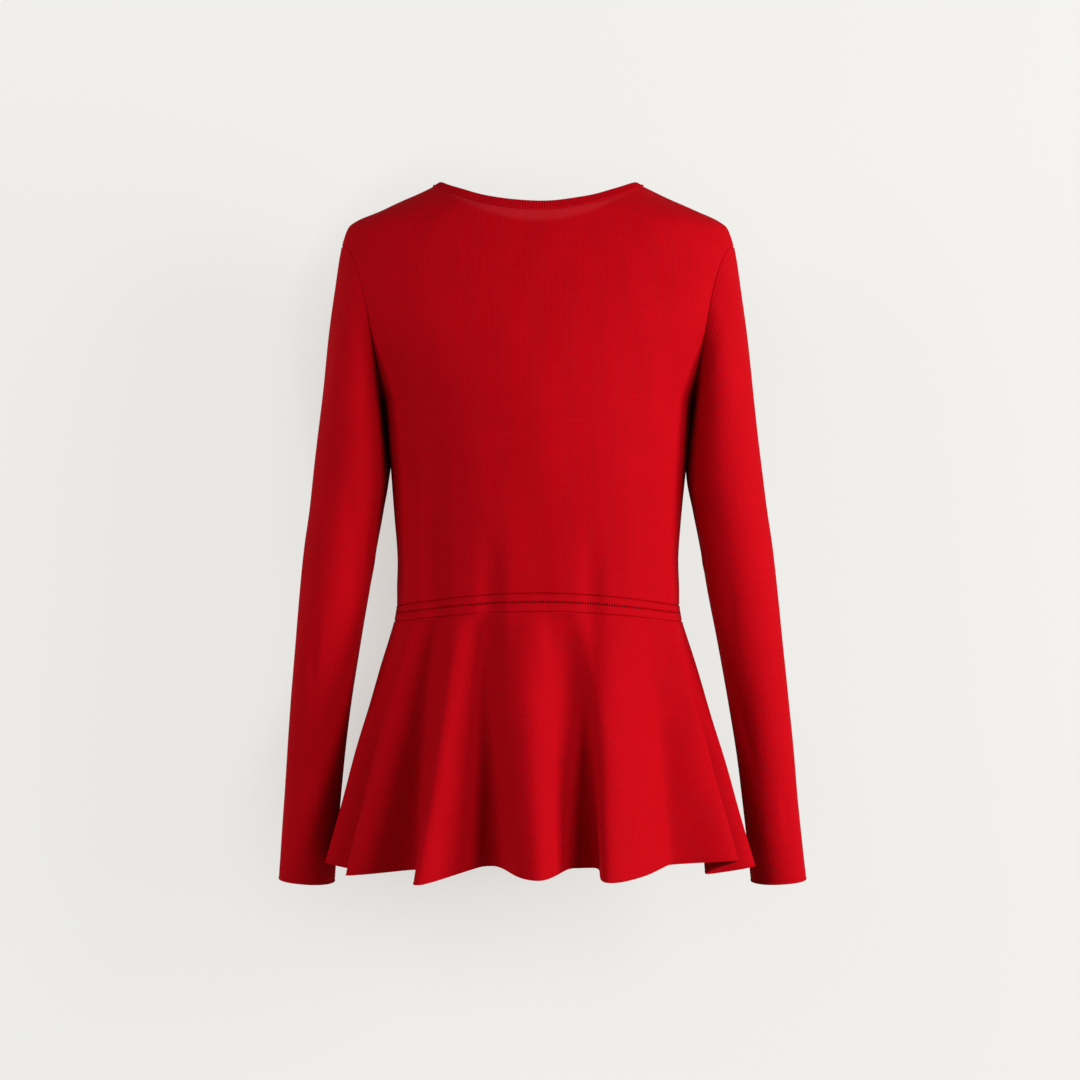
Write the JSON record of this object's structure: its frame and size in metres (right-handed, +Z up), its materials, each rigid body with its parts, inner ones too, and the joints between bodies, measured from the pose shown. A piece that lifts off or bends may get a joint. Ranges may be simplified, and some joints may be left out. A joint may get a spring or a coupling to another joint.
{
  "type": "women's long-sleeved peplum sweater, worn form with no wearer",
  "caption": "Fine-knit long-sleeved top with a ribbed scoop neckband, an eyelet waistband and a fluted peplum, hollow as worn, open at neck, cuffs and hem.",
  "frame": {"origin": "midway between the two neck points, level with the tops of the shoulders that carry the garment", "axes": "+X to the wearer's right, +Y to the wearer's front, +Z up along the body"},
  "size_m": [0.4916, 0.3085, 0.6476],
  "materials": {
    "knit": "fine matt jersey knit with a soft sheen",
    "rib": "matt 1x1 rib knit",
    "eyelet_knit": "fine matt knit with a row of small eyelets"
  },
  "bodies": {
    "root": {"bodice_back": "knit", "bodice_front": "knit", "sleeve_right": "knit", "sleeve_left": "knit", "peplum_back": "knit", "peplum_front": "knit", "neckband": "rib", "waistband": "eyelet_knit"}
  },
  "joints": []
}
